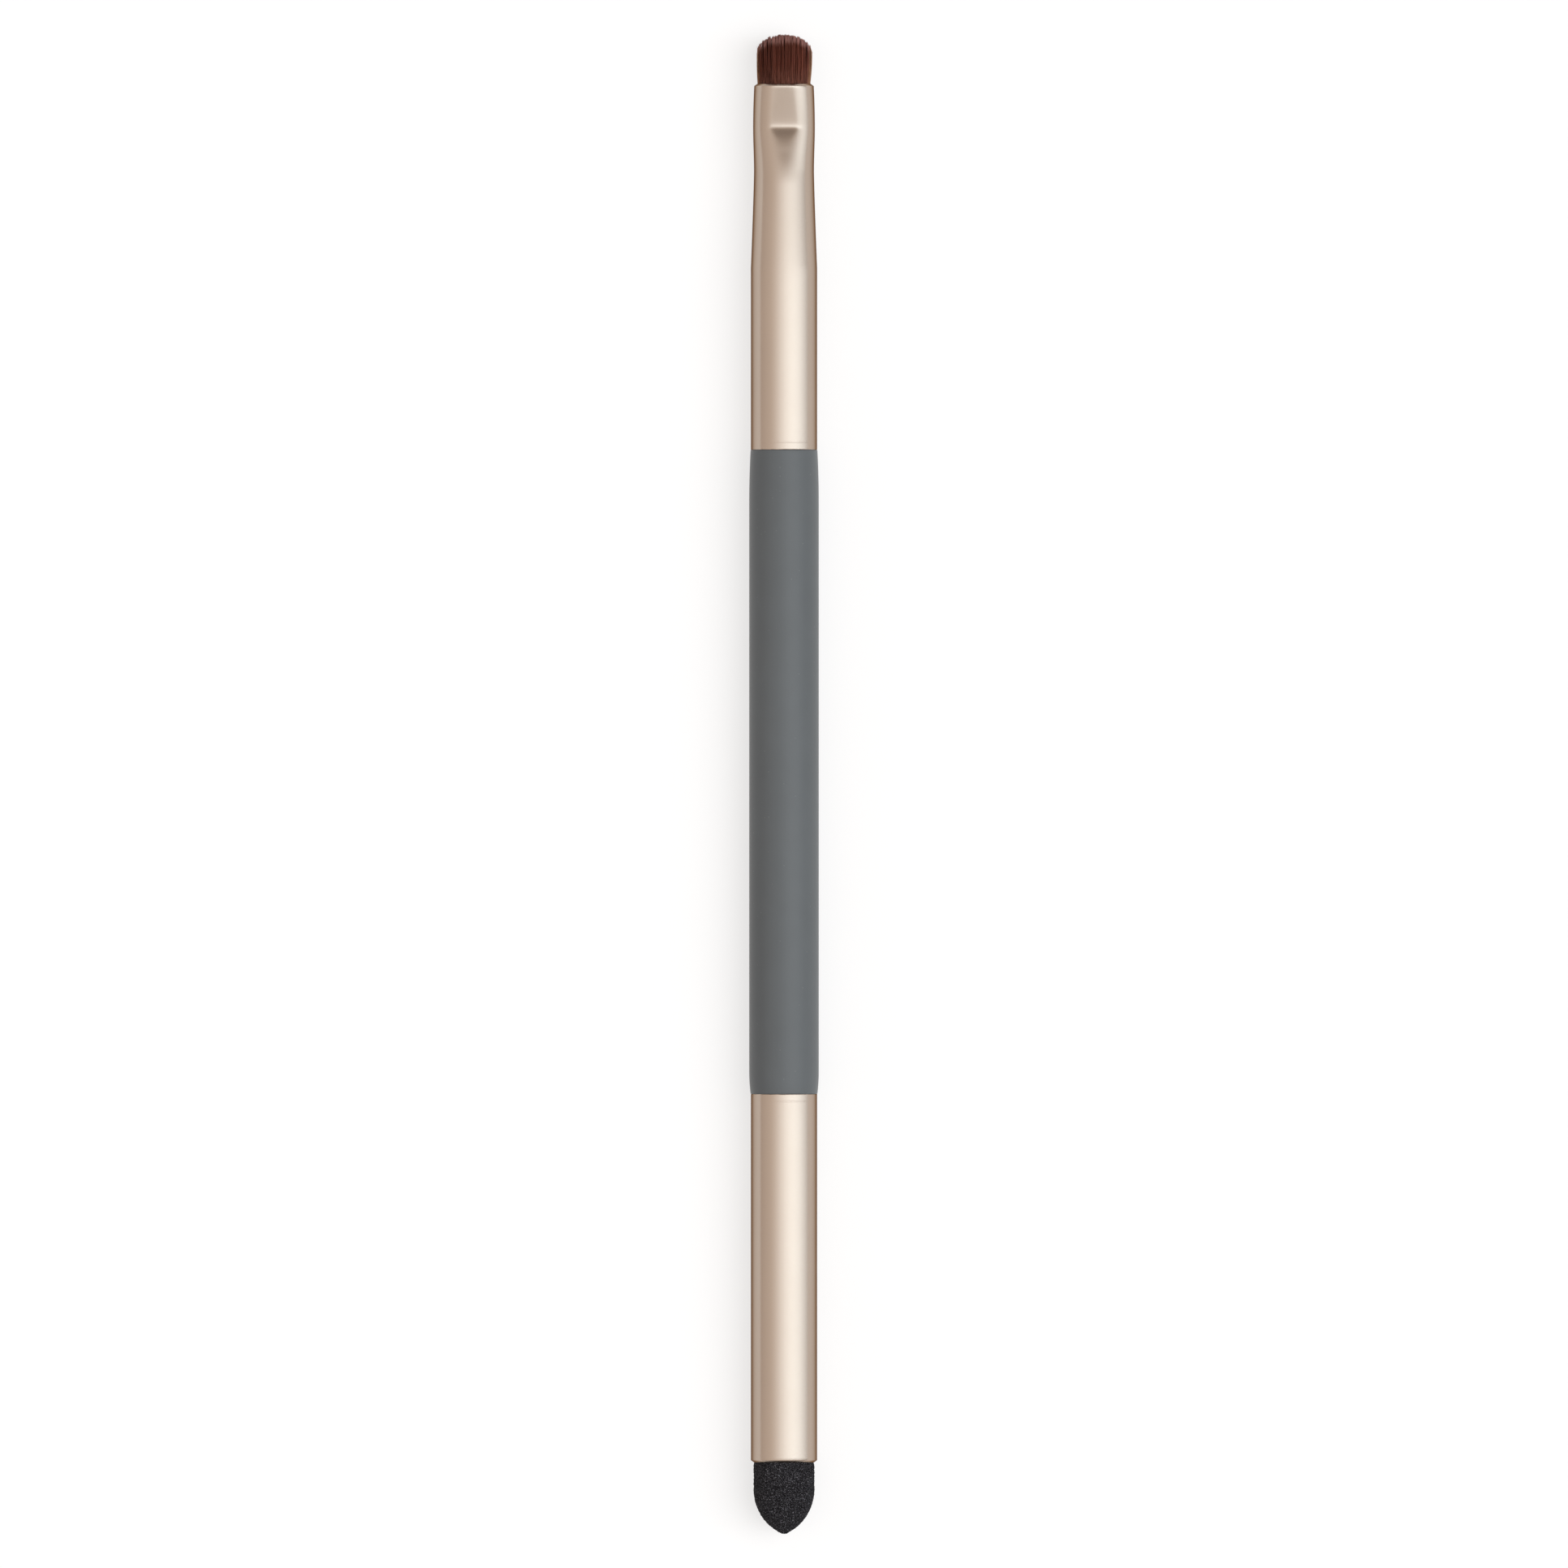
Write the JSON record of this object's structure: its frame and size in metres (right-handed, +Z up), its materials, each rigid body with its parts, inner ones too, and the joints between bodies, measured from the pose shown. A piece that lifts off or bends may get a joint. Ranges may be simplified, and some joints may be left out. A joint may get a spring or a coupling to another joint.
{
  "type": "double-ended eyeshadow brush",
  "caption": "Slim double-ended eyeshadow brush: a short domed bristle tuft in a pinched metal ferrule, a pointed foam smudger in a round one, and a matte turned grip between them.",
  "frame": {"origin": "on the brush's axis, in the middle of the straight part of the grip, where it is held", "axes": "+Y along the brush towards the bristles, +Z up and square to the pressed flats of the brush ferrule, +X across the tuft's width"},
  "size_m": [0.0074, 0.1585, 0.0074],
  "materials": {
    "lacquered_wood": "turned hardwood under a matte soft-touch grey lacquer",
    "ferrule_metal": "satin anodised, pale champagne",
    "bristle_fibre": "dark red-brown synthetic fibre, lighter at the tips",
    "binding_thread": "waxed thread",
    "set_glue": "set epoxy",
    "foam": "fine open-cell foam, charcoal black",
    "stem_plastic": "as moulded"
  },
  "bodies": {
    "root": {"handle": "lacquered_wood", "brush_ferrule": "ferrule_metal", "bristle_tuft": "bristle_fibre", "tuft_binding": "binding_thread", "tuft_glue_plug": "set_glue", "brush_end_glue": "set_glue", "foam_ferrule": "ferrule_metal", "foam_tip": "foam", "foam_stem": "stem_plastic", "foam_end_glue": "set_glue"}
  },
  "joints": []
}
